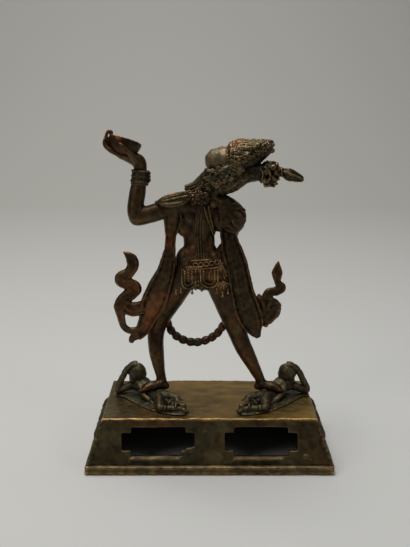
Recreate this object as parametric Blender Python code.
"""A small bronze dakini, cast in one piece with the two figures under its feet, on a hollow plinth.

The plinth's underside is at Z = 0 and its middle is the origin. +X runs along the plinth, and +Y is
the way the dakini's chest faces. Sizes of the plinth are in metres. Points of the figure are in
units of one millimetre at its full height, measured from the middle of the plinth's top face.
"""

import math

import bmesh
import bpy
from mathutils import Matrix, Vector

for old in list(bpy.data.objects):
    bpy.data.objects.remove(old, do_unlink=True)

# Plinth: a hollow box with sloping walls on a rounded foot
PLINTH_HEIGHT = 0.0258
FOOT_LENGTH = 0.1212
FOOT_DEPTH = 0.0686
TOP_LENGTH = 0.1048
TOP_DEPTH = 0.0518
WALL = 0.0024
TOP_THICKNESS = 0.0026
TOP_ROUNDING = 0.0006
FOOT_HEIGHT = 0.0044
FOOT_OVERHANG = 0.0012
FOOT_ROUNDING = 0.0012
FOOT_GROOVE = 0.0005
CORNER_RADIUS = 0.0024
CORNER_SEGMENTS = 4

# Windows in the wall behind the dakini: a wide slot and a taller, narrower one make stepped corners
WINDOW_LENGTH = 0.0352
WINDOW_HEIGHT = 0.0082
WINDOW_TALL_LENGTH = 0.0262
WINDOW_TALL_HEIGHT = 0.0132
WINDOW_SPACING = 0.0502
WINDOW_CENTRE_HEIGHT = 0.0152
PANEL_DEPTH = 0.0008

# Leaves in low relief on the two end walls
LEAF_COUNT = 5
LEAF_SPACING = 0.0084
LEAF_LENGTH = 0.0092
LEAF_WIDTH = 0.0046
LEAF_RELIEF = 0.0015
LEAF_SINK = 0.17
LEAF_LEAN = math.radians(52)

# Figure
FIGURE_HEIGHT = 0.137
SEAM = 0.0003
UNIT = FIGURE_HEIGHT / 137.0
VOXEL = 0.5 * UNIT
FIGURE_TRIANGLES = 8300


def material(name, colour, roughness, metallic):
    finish = bpy.data.materials.new(name)
    finish.use_nodes = True
    shader = finish.node_tree.nodes["Principled BSDF"]
    shader.inputs["Base Color"].default_value = (*colour, 1.0)
    shader.inputs["Roughness"].default_value = roughness
    shader.inputs["Metallic"].default_value = metallic
    return finish


def add_object(name, mesh, finish=None):
    """A closed bmesh becomes one named object, with its faces pointing outwards."""
    bmesh.ops.recalc_face_normals(mesh, faces=mesh.faces)
    data = bpy.data.meshes.new(name)
    mesh.to_mesh(data)
    mesh.free()
    item = bpy.data.objects.new(name, data)
    bpy.context.scene.collection.objects.link(item)
    if finish:
        data.materials.append(finish)
    return item


def add_cutter(name, mesh):
    cutter = add_object(name, mesh)
    cutter.hide_render = True
    cutter.display_type = "WIRE"
    return cutter


def boolean(item, cutter, operation):
    step = item.modifiers.new(cutter.name, "BOOLEAN")
    step.operation = operation
    step.object = cutter


# Plinth


def rounded_rectangle(half_length, half_depth, radius, height):
    """Points of a rectangle with rounded corners, anticlockwise at one height."""
    points = []
    signs = ((1, 1), (-1, 1), (-1, -1), (1, -1))
    for corner, (sign_x, sign_y) in enumerate(signs):
        for step in range(CORNER_SEGMENTS + 1):
            angle = math.pi / 2 * (corner + step / CORNER_SEGMENTS)
            x = sign_x * (half_length - radius) + radius * math.cos(angle)
            y = sign_y * (half_depth - radius) + radius * math.sin(angle)
            points.append(Vector((x, y, height)))
    return points


def stack_rings(mesh, rings):
    """Skins neighbouring rings of points and closes the first and the last."""
    rows = [[mesh.verts.new(point) for point in ring] for ring in rings]
    for low, high in zip(rows, rows[1:]):
        for i in range(len(low)):
            j = (i + 1) % len(low)
            mesh.faces.new((low[i], low[j], high[j], high[i]))
    mesh.faces.new(list(reversed(rows[0])))
    mesh.faces.new(rows[-1])


def wall_inset(height):
    """How far the outer wall stands in from the foot's edge, as a pair for length and depth."""
    share = (height - FOOT_HEIGHT) / (PLINTH_HEIGHT - FOOT_HEIGHT)
    full = ((FOOT_LENGTH - TOP_LENGTH) / 2, (FOOT_DEPTH - TOP_DEPTH) / 2)
    return [FOOT_OVERHANG + share * (side - FOOT_OVERHANG) for side in full]


def ring_at(height, inset_x, inset_y, radius):
    return rounded_rectangle(FOOT_LENGTH / 2 - inset_x, FOOT_DEPTH / 2 - inset_y, radius, height)


def plinth_outside():
    mesh = bmesh.new()
    lip = FOOT_ROUNDING
    groove_height = FOOT_HEIGHT * 0.62
    foot_profile = (
        (0.0, lip * 0.4), (lip * 0.5, 0.0), (groove_height - FOOT_GROOVE, 0.0), (groove_height, FOOT_GROOVE),
        (groove_height + FOOT_GROOVE, 0.0), (FOOT_HEIGHT - lip * 0.3, lip * 0.2), (FOOT_HEIGHT, lip * 0.8),
    )
    foot = [ring_at(height, inset, inset, CORNER_RADIUS) for height, inset in foot_profile]
    heights = (FOOT_HEIGHT + FOOT_ROUNDING * 0.2, PLINTH_HEIGHT - TOP_ROUNDING)
    walls = [ring_at(height, *wall_inset(height), CORNER_RADIUS) for height in heights]
    top_x, top_y = wall_inset(PLINTH_HEIGHT)
    top = ring_at(PLINTH_HEIGHT, top_x + TOP_ROUNDING, top_y + TOP_ROUNDING, CORNER_RADIUS)
    stack_rings(mesh, foot + walls + [top])
    return mesh


def plinth_hollow():
    """The space inside, open below, that follows the sloping walls."""
    mesh = bmesh.new()
    ceiling = PLINTH_HEIGHT - TOP_THICKNESS
    low_x, low_y = wall_inset(FOOT_HEIGHT)
    high_x, high_y = wall_inset(ceiling)
    radius = CORNER_RADIUS * 0.6
    below = -0.002
    rings = [
        ring_at(below, low_x + WALL, low_y + WALL, radius),
        ring_at(FOOT_HEIGHT, low_x + WALL, low_y + WALL, radius),
        ring_at(ceiling, high_x + WALL, high_y + WALL, radius),
    ]
    stack_rings(mesh, rings)
    return mesh


def slot_outline(middle_x):
    """The twelve corners of a window with stepped corners, in X and Z."""
    a, b = WINDOW_LENGTH / 2, WINDOW_TALL_LENGTH / 2
    c, d = WINDOW_HEIGHT / 2, WINDOW_TALL_HEIGHT / 2
    right = [(a, -c), (a, c), (b, c), (b, d)]
    left = [(-x, z) for x, z in reversed(right)]
    below = [(-b, -c), (-b, -d), (b, -d), (b, -c)]
    outline = right + left + below
    return [(middle_x + x, WINDOW_CENTRE_HEIGHT + z) for x, z in outline]


def prism(mesh, outline, near_y, far_y):
    """Joins an outline at one Y to the same outline at another, where each may depend on the height."""
    near = [mesh.verts.new((x, near_y(z), z)) for x, z in outline]
    far = [mesh.verts.new((x, far_y(z), z)) for x, z in outline]
    count = len(outline)
    mesh.faces.new(near)
    mesh.faces.new(list(reversed(far)))
    for i in range(count):
        j = (i + 1) % count
        mesh.faces.new((near[j], near[i], far[i], far[j]))


def wall_face(height):
    """Y of the outer face of the wall in front of the dakini."""
    return FOOT_DEPTH / 2 - wall_inset(height)[1]


def end_leaves(side):
    """Low relief for an end wall: leaves that lean one way and the other along it."""
    mesh = bmesh.new()
    middle_height = (PLINTH_HEIGHT + FOOT_HEIGHT) / 2
    low, high = wall_inset(FOOT_HEIGHT)[0], wall_inset(PLINTH_HEIGHT)[0]
    wall_x = (FOOT_LENGTH - low - high) / 2
    slope = math.atan2(high - low, PLINTH_HEIGHT - FOOT_HEIGHT)
    tilt = Matrix.Rotation(-side * slope, 4, "Y")
    size = Matrix.Diagonal((LEAF_RELIEF, LEAF_LENGTH / 2, LEAF_WIDTH / 2, 1.0))
    for n in range(LEAF_COUNT):
        along = LEAF_SPACING * (n - (LEAF_COUNT - 1) / 2)
        spot = Vector((side * (wall_x - LEAF_RELIEF * LEAF_SINK), along, middle_height))
        lean = Matrix.Rotation(LEAF_LEAN * (-1) ** n, 4, "X")
        place = Matrix.Translation(spot) @ tilt @ lean @ size
        bmesh.ops.create_uvsphere(mesh, u_segments=10, v_segments=6, radius=1.0, matrix=place)
    return mesh


def build_plinth(finish):
    plinth = add_object("plinth", plinth_outside(), finish)
    boolean(plinth, add_cutter("plinth_hollow", plinth_hollow()), "DIFFERENCE")
    for side, name in ((-1, "left"), (1, "right")):
        outline = slot_outline(side * WINDOW_SPACING / 2)
        window = bmesh.new()
        prism(window, outline, lambda z: -FOOT_DEPTH, lambda z: -TOP_DEPTH / 4)
        boolean(plinth, add_cutter("window_" + name, window), "DIFFERENCE")
        panel = bmesh.new()
        prism(panel, outline, lambda z: wall_face(z) - PANEL_DEPTH, lambda z: FOOT_DEPTH)
        boolean(plinth, add_cutter("panel_" + name, panel), "DIFFERENCE")
        boolean(plinth, add_cutter("leaves_" + name, end_leaves(side)), "UNION")
    return plinth


# Figure


def at(x, y, z):
    """A point of the figure, in its own millimetres, as a place in metres."""
    return Vector((x * UNIT, y * UNIT, PLINTH_HEIGHT + SEAM + z * UNIT))


def curve_through(values, share):
    """Catmull-Rom between the middle two of four values."""
    a, b, c, d = values
    slope = (c - a) / 2
    next_slope = (d - b) / 2
    s2 = share * share
    s3 = s2 * share
    return (
        (2 * s3 - 3 * s2 + 1) * b
        + (s3 - 2 * s2 + share) * slope
        + (3 * s2 - 2 * s3) * c
        + (s3 - s2) * next_slope
    )


def smooth_stations(stations, steps):
    rows = []
    last = len(stations) - 1
    for i in range(last):
        four = [stations[max(i - 1, 0)], stations[i], stations[i + 1], stations[min(i + 2, last)]]
        for step in range(steps):
            share = step / steps
            rows.append([curve_through(values, share) for values in zip(*four)])
    rows.append(list(stations[last]))
    return rows


def limb(mesh, stations, steps=4, sides=16, facing=(0, 1, 0)):
    """A rounded tube through stations (x, y, z, half width, half depth).

    The width lies square to the path and to the facing direction, and the depth lies along it.
    """
    rows = smooth_stations(stations, steps)
    centres = [at(*row[:3]) for row in rows]
    facing = Vector(facing)
    frames = []
    for i, row in enumerate(rows):
        before, after = centres[max(i - 1, 0)], centres[min(i + 1, len(rows) - 1)]
        along = (after - before).normalized()
        across = facing.cross(along).normalized()
        frames.append((centres[i], along, across, along.cross(across), row[3] * UNIT, row[4] * UNIT))

    def round_end(frame, sign):
        centre, along, across, depth, wide, deep = frame
        reach = min(wide, deep)
        ends = []
        for angle in (math.radians(68), math.radians(38)):
            push = sign * along * reach * math.sin(angle)
            shrink = math.cos(angle)
            ends.append((centre + push, along, across, depth, wide * shrink, deep * shrink))
        return ends, centre + sign * along * reach

    first, first_tip = round_end(frames[0], -1)
    last, last_tip = round_end(frames[-1], 1)
    rings = []
    for centre, _, across, depth, wide, deep in first + frames + last[::-1]:
        ring = []
        for k in range(sides):
            angle = 2 * math.pi * k / sides
            out = across * wide * math.cos(angle) + depth * deep * math.sin(angle)
            ring.append(mesh.verts.new(centre + out))
        rings.append(ring)
    for low, high in zip(rings, rings[1:]):
        for k in range(sides):
            j = (k + 1) % sides
            mesh.faces.new((low[k], low[j], high[j], high[k]))
    for ring, tip in ((rings[0], first_tip), (rings[-1], last_tip)):
        point = mesh.verts.new(tip)
        for k in range(sides):
            mesh.faces.new((ring[k], ring[(k + 1) % sides], point))


def lump(mesh, centre, radii, lean=0.0, turn=0.0):
    """An ellipsoid at a point of the figure, leaned in the X-Z plane and then turned about Z."""
    size = Matrix.Diagonal((*[radius * UNIT for radius in radii], 1.0))
    spin = Matrix.Rotation(math.radians(turn), 4, "Z") @ Matrix.Rotation(math.radians(-lean), 4, "Y")
    place = Matrix.Translation(at(*centre)) @ spin @ size
    bmesh.ops.create_uvsphere(mesh, u_segments=16, v_segments=10, radius=1.0, matrix=place)


def beads(mesh, stations, count, radii):
    """Equal lumps spaced evenly along a smooth path."""
    rows = smooth_stations(stations, 12)
    spans = [0.0]
    for a, b in zip(rows, rows[1:]):
        spans.append(spans[-1] + (Vector(b[:3]) - Vector(a[:3])).length)
    for n in range(count):
        wanted = spans[-1] * (n + 0.5) / count
        i = max(k for k in range(len(spans) - 1) if spans[k] <= wanted)
        share = (wanted - spans[i]) / (spans[i + 1] - spans[i])
        lump(mesh, [a + share * (b - a) for a, b in zip(rows[i][:3], rows[i + 1][:3])], radii)


def add_torso(mesh):
    limb(mesh, [
        (-3.0, 0.8, 62.5, 7.5, 5.2), (-3.2, 0.2, 67.5, 11.0, 7.0), (-3.8, 0.2, 73.0, 10.4, 6.6),
        (-5.0, 0.8, 78.0, 8.2, 5.6), (-5.7, 1.6, 82.0, 7.2, 5.0), (-5.2, 2.0, 88.0, 8.4, 5.6),
        (-3.8, 1.4, 94.5, 10.6, 6.0), (-1.6, 0.4, 100.0, 11.0, 5.2), (0.8, -0.4, 104.0, 6.0, 4.0),
        (3.0, -1.0, 109.0, 3.9, 3.7), (4.6, -1.2, 114.0, 3.9, 3.9),
    ])
    for x in (-8.6, 2.2):
        lump(mesh, (x, -2.6, 67.0), (5.4, 5.6, 5.6))
    for x in (-8.6, 1.4):
        lump(mesh, (x, 6.2, 95.5), (4.0, 3.4, 3.9))
    lump(mesh, (-11.6, -1.4, 72.0), (5.2, 4.8, 6.0))
    # The hair hangs down the back in a flat tress, and a doubled strap crosses beside it
    limb(mesh, [
        (1.6, -4.6, 106.0, 3.4, 1.8), (-1.0, -5.4, 99.0, 3.0, 1.5), (-3.6, -5.2, 91.0, 2.8, 1.5),
        (-5.0, -4.6, 83.0, 2.9, 1.5), (-4.6, -6.0, 75.5, 3.3, 1.5),
    ])
    for shift in (0.0, 1.5):
        limb(mesh, [
            (-1.4 + shift, -5.4, 101.5, 0.6, 0.9), (-0.4 + shift, -4.6, 92.0, 0.6, 0.9),
            (0.0 + shift, -2.6, 85.0, 0.6, 0.9), (0.2 + shift, -2.0, 81.0, 0.6, 0.9),
        ], sides=8)


def add_legs(mesh):
    limb(mesh, [
        (-9.0, 0.6, 71.0, 6.8, 6.8), (-14.2, 2.0, 62.0, 7.0, 6.8), (-19.4, 4.4, 52.5, 6.4, 6.2),
        (-24.4, 7.0, 42.5, 5.2, 5.2), (-27.2, 8.0, 35.5, 4.7, 4.9), (-27.7, 6.6, 29.5, 4.2, 4.6),
        (-27.2, 4.4, 23.0, 3.9, 4.4), (-26.0, 2.4, 16.5, 3.1, 3.3), (-25.0, 1.0, 11.8, 2.6, 2.8),
        (-24.4, 0.4, 8.6, 2.7, 2.7),
    ])
    limb(mesh, [
        (2.4, 0.6, 70.0, 6.8, 6.8), (5.8, 0.6, 60.0, 7.2, 6.8), (9.2, 0.8, 50.0, 6.3, 6.2),
        (12.8, 1.2, 39.5, 5.3, 5.4), (15.0, 1.4, 33.0, 4.7, 4.9), (17.6, 0.8, 27.0, 4.4, 4.7),
        (20.6, 0.4, 21.2, 3.8, 4.3), (23.6, 0.0, 15.4, 3.1, 3.4), (25.7, 0.0, 11.2, 2.6, 2.8),
        (26.6, -0.2, 8.6, 2.6, 2.6),
    ])
    for side, shift, drop in ((-1, 0.0, 0.0), (1, 2.2, -0.2)):
        limb(mesh, [
            (side * 22.6 + shift, -0.6, 7.0 + drop, 2.2, 2.2),
            (side * 25.6 + shift, -1.0, 7.4 + drop, 2.6, 2.5),
            (side * 29.6 + shift, -2.0, 6.8 + drop, 1.9, 2.9),
            (side * 34.0 + shift, -3.0, 6.0 + drop, 1.2, 2.6),
        ])
        limb(mesh, [
            (side * 24.3 + shift, 0.8, 12.8 + drop, 3.0, 3.2),
            (side * 24.6 + shift, 0.8, 11.6 + drop, 3.0, 3.2),
        ])


def add_raised_arm(mesh):
    """The dakini's left arm, which holds up a skull cup."""
    limb(mesh, [
        (-7.0, 0.4, 99.5, 5.0, 5.0), (-14.0, -0.2, 101.0, 4.5, 4.5), (-21.0, -0.8, 99.6, 4.0, 4.0),
        (-28.5, -1.5, 97.2, 3.9, 4.0), (-35.6, -2.0, 95.3, 4.1, 4.1),
    ])
    limb(mesh, [
        (-36.0, -1.9, 96.4, 4.2, 4.1), (-36.0, -1.2, 100.8, 4.1, 4.0), (-34.9, -0.2, 107.5, 4.0, 3.9),
        (-33.9, 0.6, 113.5, 3.6, 3.4), (-33.4, 1.0, 118.5, 3.4, 3.1),
    ])
    limb(mesh, [(-33.9, 0.8, 112.6, 4.3, 4.1), (-33.6, 0.9, 115.6, 4.3, 4.1)])
    lump(mesh, (-30.2, 0.9, 113.6), (1.7, 2.2, 2.6))
    # Hand bent back under the cup, its fingers closed round the far end
    limb(mesh, [
        (-33.4, 1.0, 118.6, 3.5, 3.2), (-34.6, 1.0, 121.8, 3.6, 3.8), (-38.2, 1.0, 123.6, 3.1, 4.4),
        (-43.0, 1.0, 125.2, 2.4, 4.4),
    ])
    for n, y in enumerate((-2.2, -0.1, 2.0, 4.0)):
        rise = 0.5 * n
        limb(mesh, [
            (-42.0, y, 124.8 + 0.2 * n, 1.5, 1.2), (-46.5, y, 126.6 + 0.2 * n, 1.4, 1.1),
            (-50.0, y, 129.4 + rise, 1.2, 1.0), (-50.3, y, 132.6 + rise, 0.9, 0.9),
        ], sides=10)
    limb(mesh, [
        (-48.9, -0.6, 131.6, 1.0, 1.0), (-49.2, -0.6, 134.4, 0.9, 0.9), (-48.0, -0.6, 136.1, 0.9, 0.9),
        (-46.6, -0.6, 135.5, 0.7, 0.7),
    ], sides=10)
    limb(mesh, [
        (-34.6, -2.2, 121.8, 1.8, 1.6), (-37.2, -4.6, 125.2, 1.5, 1.3), (-40.4, -5.6, 128.6, 1.2, 1.1),
        (-42.2, -5.2, 130.4, 0.9, 0.9),
    ], sides=10)


def add_skull_cup(mesh):
    """A half ellipsoid with a raised rim and a shallow dish, its rim down towards the wrist."""
    tilt = Matrix.Rotation(math.radians(16), 4, "Y")
    place = Matrix.Translation(at(-40.8, 1.0, 131.4)) @ tilt
    profile = [
        (0.0, -6.9), (3.4, -6.3), (6.0, -4.3), (7.5, -1.6), (7.9, 0.4), (7.0, 0.6), (5.6, -0.6), (0.0, -1.4),
    ]
    segments = 24
    rings = []
    for radius, height in profile:
        if radius == 0.0:
            rings.append([mesh.verts.new(place @ Vector((0.0, 0.0, height * UNIT)))])
            continue
        ring = []
        for k in range(segments):
            angle = 2 * math.pi * k / segments
            spot = Vector((radius * math.cos(angle), radius * 0.78 * math.sin(angle), height))
            ring.append(mesh.verts.new(place @ (spot * UNIT)))
        rings.append(ring)
    for low, high in zip(rings, rings[1:]):
        for k in range(segments):
            j = (k + 1) % segments
            if len(low) == 1:
                mesh.faces.new((low[0], high[j], high[k]))
            elif len(high) == 1:
                mesh.faces.new((low[k], low[j], high[0]))
            else:
                mesh.faces.new((low[k], low[j], high[j], high[k]))


def add_lowered_arm(mesh):
    """The right arm, bent forwards in front of the hip, with a curved flaying knife in its fist."""
    limb(mesh, [
        (6.0, 0.2, 101.0, 4.6, 4.8), (11.6, 0.4, 99.6, 4.8, 4.8), (14.2, 0.4, 95.4, 4.5, 4.5),
        (14.0, 1.0, 90.0, 4.0, 4.2),
    ])
    limb(mesh, [
        (13.8, 1.2, 90.0, 3.9, 3.9), (13.0, 5.0, 86.0, 3.5, 3.5), (11.6, 9.2, 81.4, 3.1, 3.1),
        (10.6, 12.2, 78.0, 2.5, 2.5),
    ], facing=(1, 0, 0))
    limb(mesh, [(11.0, 10.6, 79.8, 3.5, 3.5), (10.8, 11.8, 78.4, 3.5, 3.5)], facing=(1, 0, 0))
    lump(mesh, (10.2, 13.8, 76.0), (3.2, 3.2, 3.2))
    limb(mesh, [
        (10.2, 14.2, 80.6, 1.0, 1.0), (10.2, 14.2, 76.0, 1.1, 1.1), (10.2, 14.2, 67.6, 1.2, 1.2),
    ], sides=10)
    blade = [
        (10.2, 19.8, 73.0), (10.2, 18.6, 69.2), (10.2, 14.8, 67.4), (10.2, 10.8, 69.0), (10.2, 9.4, 72.8),
    ]
    widths = (0.8, 1.9, 2.5, 2.1, 0.8)
    limb(mesh, [(*point, wide, 1.0) for point, wide in zip(blade, widths)], facing=(1, 0, 0))


def add_head(mesh):
    """A head thrown back and turned to the raised cup: its top points up and to +X."""
    lump(mesh, (5.6, -1.0, 120.8), (7.9, 6.6, 7.7), lean=35)
    lump(mesh, (1.0, -1.0, 117.6), (4.2, 4.6, 4.0), lean=20)
    # A plain nose and chin on the face, which looks up and away from the wall with the windows
    limb(mesh, [(3.6, 1.4, 126.6, 0.9, 1.0), (1.2, 2.0, 126.8, 1.1, 1.2)], sides=10)
    lump(mesh, (-1.6, 1.4, 121.4), (2.0, 2.2, 2.2))
    # Hair swept back from the brow, the crown's leaves over it, and the back hair down to the neck
    limb(mesh, [
        (10.2, -1.2, 122.4, 6.9, 7.2), (16.0, -1.6, 124.2, 6.6, 6.6), (22.0, -2.0, 126.0, 4.9, 5.0),
        (26.6, -2.2, 128.0, 2.9, 3.2), (29.2, -2.2, 129.4, 1.5, 1.8),
    ])
    limb(mesh, [
        (5.0, -2.6, 109.0, 5.4, 5.0), (11.0, -2.8, 112.6, 6.4, 5.6), (17.5, -3.0, 116.0, 5.6, 5.2),
        (23.5, -3.0, 116.4, 4.4, 4.4),
    ])
    lump(mesh, (28.8, -3.0, 116.2), (4.9, 4.6, 4.8), lean=-20)
    limb(mesh, [
        (32.4, -3.0, 117.2, 1.7, 1.7), (34.8, -3.0, 117.2, 1.5, 1.5), (37.6, -3.0, 116.4, 2.7, 2.5),
        (41.0, -3.0, 115.2, 1.9, 1.8), (44.4, -3.0, 114.2, 0.8, 0.8),
    ])


def add_crown(mesh):
    """Five leaves on a band round the brow, each with a skull at its foot."""
    band = Matrix.Translation(at(11.4, -1.2, 122.6)) @ Matrix.Rotation(math.radians(72), 4, "Y")
    for n in range(-2, 3):
        around = math.radians(180 + 46 * n)
        out = Vector((math.cos(around), math.sin(around), 0.0))
        for reach, height, radius in ((7.2, 0.0, 1.9), (7.4, 3.0, 2.1), (6.8, 5.8, 1.6), (5.8, 8.2, 1.0)):
            spot = band @ ((out * reach + Vector((0.0, 0.0, height))) * UNIT)
            place = Matrix.Translation(spot) @ Matrix.Scale(radius * UNIT, 4)
            bmesh.ops.create_icosphere(mesh, subdivisions=2, radius=1.0, matrix=place)
    for n in range(12):
        around = math.radians(30 * n)
        spot = band @ (Vector((math.cos(around) * 7.0, math.sin(around) * 7.0, -1.8)) * UNIT)
        place = Matrix.Translation(spot) @ Matrix.Scale(1.2 * UNIT, 4)
        bmesh.ops.create_icosphere(mesh, subdivisions=2, radius=1.0, matrix=place)


def add_shoulder_locks(mesh):
    """Locks of hair on the raised shoulder, and round ornaments beside the neck and the ear."""
    limb(mesh, [
        (-25.2, -2.6, 102.2, 1.0, 1.4), (-21.6, -2.8, 103.2, 2.6, 3.0), (-16.4, -2.8, 104.4, 2.9, 3.4),
        (-11.0, -3.0, 105.8, 2.6, 3.0), (-7.0, -3.0, 106.6, 2.0, 2.4),
    ])
    limb(mesh, [
        (-11.0, -3.0, 109.0, 0.8, 0.9), (-7.6, -3.2, 110.8, 1.7, 1.8), (-2.6, -3.2, 112.4, 2.1, 2.4),
        (1.6, -3.0, 113.0, 2.0, 2.8),
    ])
    lump(mesh, (-2.6, -2.2, 108.4), (3.6, 3.0, 3.4))
    limb(mesh, [(-5.0, -3.4, 114.4, 0.7, 0.9), (-2.8, -3.6, 116.2, 1.2, 1.5), (0.2, -3.6, 115.4, 1.2, 2.0)])
    lump(mesh, (-5.8, -4.6, 105.6), (3.0, 2.2, 3.0))
    lump(mesh, (1.8, -5.4, 101.6), (1.9, 1.4, 1.9))
    lump(mesh, (5.4, -6.6, 112.8), (2.6, 1.8, 2.6))
    limb(mesh, [
        (7.2, -5.4, 108.0, 1.4, 1.4), (10.6, -6.8, 112.0, 1.7, 1.7), (13.4, -6.8, 117.0, 1.6, 1.6),
    ])


def add_apron(mesh):
    """A bone apron round the hips: a belt, and a net of hanging loops."""
    limb(mesh, [(-3.2, 0.0, 66.5, 11.9, 8.0), (-3.8, 0.1, 71.0, 11.3, 7.6), (-4.4, 0.4, 74.6, 10.2, 6.9)])
    limb(mesh, [(-4.1, 0.2, 72.4, 11.9, 8.2), (-4.3, 0.3, 73.8, 11.4, 7.9)])
    for side in (-1, 1):
        for n, x in enumerate((-14.4, -9.6, -4.4, 0.8, 6.0)):
            off_centre = (x + 3.4) / 12.6
            y = side * 7.4 * math.sqrt(1 - min(off_centre * off_centre, 0.94))
            long = 5.2 if n in (1, 3) else 4.2
            lump(mesh, (x, y, 64.6 if n in (1, 3) else 64.0), (2.8, 1.3, long), turn=-18 * off_centre * side)


def add_garland(mesh):
    """A long string of heads from the neck to below the knees, hanging in front."""
    path = [
        (-3.6, 4.4, 103.5), (-7.6, 8.4, 99.0), (-10.6, 7.8, 92.0), (-9.6, 7.0, 84.0), (-10.2, 7.8, 76.0),
        (-14.0, 10.0, 64.0), (-19.6, 12.2, 50.0), (-22.2, 11.4, 41.0), (-19.4, 9.0, 33.2), (-13.8, 8.6, 29.0),
        (-7.4, 8.4, 27.6), (-1.0, 8.0, 29.2), (5.0, 7.4, 33.8), (9.0, 7.6, 42.0), (9.8, 8.2, 52.0),
        (7.0, 8.6, 63.0), (2.0, 8.0, 74.0), (-1.2, 6.8, 83.0), (1.6, 7.4, 92.0), (2.6, 8.0, 99.0),
        (3.4, 3.8, 104.5),
    ]
    limb(mesh, [(*point, 2.0, 2.0) for point in path], steps=3, sides=10)
    beads(mesh, path, 44, (2.4, 2.2, 2.4))


def add_left_scarf(mesh):
    """The scarf on the raised arm's side: it falls to the thigh and ends in a loop and a flame."""
    limb(mesh, [
        (-17.6, -1.6, 99.0, 4.6, 2.6), (-18.0, -1.8, 92.0, 4.6, 2.3), (-19.0, -2.0, 85.6, 2.8, 2.0),
        (-19.6, -2.4, 78.0, 3.0, 2.0), (-21.0, -3.0, 69.5, 4.4, 2.0), (-24.6, -3.0, 60.0, 6.0, 2.0),
        (-28.0, -2.2, 51.0, 6.6, 2.0), (-31.0, -1.0, 43.5, 4.6, 1.9), (-34.0, -0.4, 37.0, 3.6, 1.8),
        (-36.8, -0.4, 33.6, 2.6, 1.5),
    ])
    limb(mesh, [(-36.6, -0.4, 34.4, 2.4, 1.5), (-39.0, -0.4, 32.4, 2.0, 1.3), (-39.6, -0.4, 30.8, 1.4, 1.0)])
    limb(mesh, [
        (-42.2, 0.0, 76.6, 0.6, 0.7), (-39.2, 0.0, 74.2, 2.8, 1.5), (-38.0, 0.0, 70.4, 3.0, 1.6),
        (-40.2, 0.0, 66.4, 2.8, 1.7), (-44.0, 0.0, 64.2, 3.2, 1.7), (-43.4, 0.0, 61.6, 3.0, 1.7),
        (-39.4, 0.0, 60.0, 3.0, 1.7), (-38.4, 0.0, 57.8, 3.2, 1.7), (-42.4, -0.4, 54.2, 3.3, 1.8),
        (-45.0, -0.8, 49.6, 3.1, 1.8), (-44.4, -0.9, 43.6, 2.1, 1.6), (-43.2, -0.8, 38.8, 1.8, 1.5),
        (-40.2, -0.6, 36.6, 1.8, 1.5), (-35.8, -0.6, 36.6, 2.3, 1.6),
    ])
    limb(mesh, [
        (-43.4, -0.8, 50.4, 3.6, 1.7), (-38.9, -1.2, 48.0, 3.8, 1.7), (-33.3, -1.8, 49.2, 3.6, 1.9),
    ], facing=(0, 1, 0))


def add_right_scarf(mesh):
    """The scarf on the lowered arm's side: a broad folded fall with a leaf and a flame."""
    limb(mesh, [
        (6.6, -1.2, 99.0, 5.0, 3.0), (8.6, -1.6, 92.0, 4.6, 2.8), (9.4, -2.0, 85.0, 4.2, 2.5),
        (11.0, -2.8, 78.0, 5.4, 2.4), (13.4, -3.2, 71.0, 5.6, 2.4), (14.8, -3.2, 64.0, 5.9, 2.4),
        (16.4, -3.0, 56.5, 6.2, 2.4), (18.6, -2.6, 49.0, 6.9, 2.3), (21.2, -2.2, 42.0, 6.4, 2.1),
        (23.0, -2.0, 37.0, 3.9, 1.7), (24.8, -2.0, 33.6, 1.3, 1.0),
    ])
    limb(mesh, [
        (34.2, 0.0, 72.0, 0.6, 0.7), (33.7, 0.0, 66.8, 2.8, 1.5), (34.0, 0.0, 61.8, 1.7, 1.4),
        (36.0, 0.0, 59.2, 2.4, 1.6), (33.8, 0.0, 57.2, 2.4, 1.6), (29.6, -0.2, 56.4, 2.3, 1.6),
        (28.6, -0.4, 53.6, 2.4, 1.7), (31.6, -0.8, 48.4, 4.8, 1.9), (27.6, -1.4, 42.8, 4.0, 1.9),
    ])
    # Its inner fold lies against the hip
    limb(mesh, [
        (7.4, -1.8, 82.0, 1.6, 1.8), (6.4, -2.2, 76.5, 4.0, 2.2), (7.8, -2.6, 69.0, 4.0, 2.2),
        (10.0, -2.8, 61.0, 2.0, 1.8),
    ])
    lump(mesh, (28.4, -1.4, 39.8), (1.3, 1.2, 1.3))
    limb(mesh, [(24.6, -0.8, 55.4, 0.9, 1.0), (25.4, -1.2, 52.0, 2.4, 1.5), (25.0, -1.6, 46.0, 3.6, 1.8)])


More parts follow.
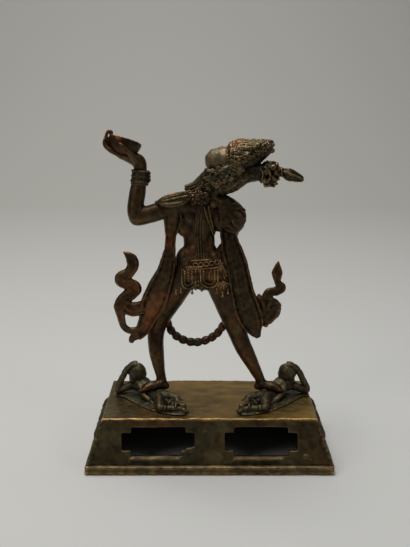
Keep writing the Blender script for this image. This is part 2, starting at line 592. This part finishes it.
def add_trampled_figure(mesh, side, shift, lift):
    """A small figure lying on its side under one foot, with a hand on its head."""

    def place(rows):
        return [(side * x + shift, y, z, wide, deep) for x, y, z, wide, deep in rows]

    flat = (0, 0, 1)
    # A thin sheet of ground under the body
    limb(mesh, place([
        (48.0, 6.0, 0.2, 3.4, 0.9), (41.0, 5.0, 0.2, 6.0, 1.0), (33.0, -1.0, 0.2, 8.0, 1.0),
        (24.0, -11.0, 0.2, 7.6, 1.0), (15.0, -17.4, 0.2, 5.6, 0.9), (11.6, -19.0, 0.2, 3.6, 0.8),
    ]), facing=flat)
    limb(mesh, place([
        (38.4, 5.6, 5.6, 3.6, 3.4), (34.6, 4.2, 5.6, 4.6, 4.2), (31.0, 0.6, 4.0, 4.0, 3.4),
        (27.6, -3.6, 3.0, 3.6, 2.6), (24.6, -7.8, 3.4, 4.2, 3.2),
    ]), facing=flat)
    lump(mesh, (side * 37.4 + shift, 5.6, 12.2 + lift), (4.6, 4.4, 4.9))
    limb(mesh, place([(37.2, 5.2, 5.6, 2.4, 2.4), (37.2, 5.4, 9.6, 2.3, 2.3)]))
    # Propped arm, from the shoulder out to the elbow and up to the crown of the head
    limb(mesh, place([(40.0, 5.0, 5.2, 2.4, 2.4), (44.0, 4.4, 3.8, 2.0, 2.1), (47.6, 4.0, 3.2, 1.9, 2.0)]))
    limb(mesh, place([
        (47.8, 4.0, 3.4, 1.9, 1.9), (45.8, 4.6, 8.2, 1.7, 1.7), (43.2, 5.4, 13.2, 1.7, 1.8),
        (39.6, 5.6, 16.4, 1.8, 2.2),
    ]))
    # Near arm laid along the body
    limb(mesh, place([
        (35.6, 1.0, 6.4, 1.7, 1.7), (34.0, -3.6, 3.8, 1.5, 1.5), (30.6, -8.0, 2.2, 1.3, 1.3),
    ]), facing=flat)
    # Legs drawn up, crossed at the shins
    limb(mesh, place([
        (25.4, -8.0, 3.6, 3.0, 3.0), (25.0, -12.6, 3.4, 2.6, 2.8), (24.6, -17.6, 2.4, 2.1, 2.1),
    ]), facing=flat)
    limb(mesh, place([
        (24.4, -18.2, 2.3, 1.9, 1.9), (19.6, -18.6, 2.0, 1.6, 1.6), (14.6, -19.0, 1.9, 1.4, 1.5),
        (12.4, -20.6, 1.7, 1.1, 1.4),
    ]), facing=flat)
    limb(mesh, place([
        (23.6, -7.6, 4.0, 2.8, 2.8), (19.6, -9.0, 4.6, 2.4, 2.4), (16.4, -11.0, 4.4, 1.9, 2.0),
    ]), facing=flat)
    limb(mesh, place([
        (16.4, -11.2, 4.2, 1.8, 1.8), (15.4, -14.4, 3.0, 1.5, 1.6), (12.6, -16.6, 2.4, 1.3, 1.5),
    ]), facing=flat)


def build_figure(finish):
    mesh = bmesh.new()
    add_torso(mesh)
    add_legs(mesh)
    add_raised_arm(mesh)
    add_skull_cup(mesh)
    add_lowered_arm(mesh)
    add_head(mesh)
    add_crown(mesh)
    add_shoulder_locks(mesh)
    add_apron(mesh)
    add_garland(mesh)
    add_left_scarf(mesh)
    add_right_scarf(mesh)
    add_trampled_figure(mesh, -1, 0.0, 0.0)
    add_trampled_figure(mesh, 1, 3.0, -0.3)
    figure = add_object("dakini_figure", mesh, finish)
    # One skin over all the overlapping forms, as wax joins before casting
    skin = figure.modifiers.new("skin", "REMESH")
    skin.mode = "VOXEL"
    skin.voxel_size = VOXEL
    soften = figure.modifiers.new("soften", "SMOOTH")
    soften.factor = 0.5
    soften.iterations = 3
    # Fewer faces, to the stated number
    bpy.context.view_layer.update()
    evaluated = figure.evaluated_get(bpy.context.evaluated_depsgraph_get())
    fine = evaluated.to_mesh()
    fine.calc_loop_triangles()
    share = FIGURE_TRIANGLES / len(fine.loop_triangles)
    evaluated.to_mesh_clear()
    coarse = figure.modifiers.new("coarse", "DECIMATE")
    coarse.ratio = share
    # Cut flat a seam's width above the plinth
    below = bmesh.new()
    depth = 0.02
    size = Matrix.Diagonal((FOOT_LENGTH * 2, FOOT_LENGTH * 2, depth, 1.0))
    middle = Matrix.Translation((0.0, 0.0, PLINTH_HEIGHT + SEAM - depth / 2))
    bmesh.ops.create_cube(below, size=1.0, matrix=middle @ size)
    boolean(figure, add_cutter("seam_cutter", below), "DIFFERENCE")
    return figure


def main():
    plinth_bronze = material("plinth_bronze", (0.16, 0.10, 0.045), 0.45, 0.9)
    figure_bronze = material("figure_bronze", (0.10, 0.055, 0.03), 0.4, 0.9)
    build_plinth(plinth_bronze)
    build_figure(figure_bronze)


main()
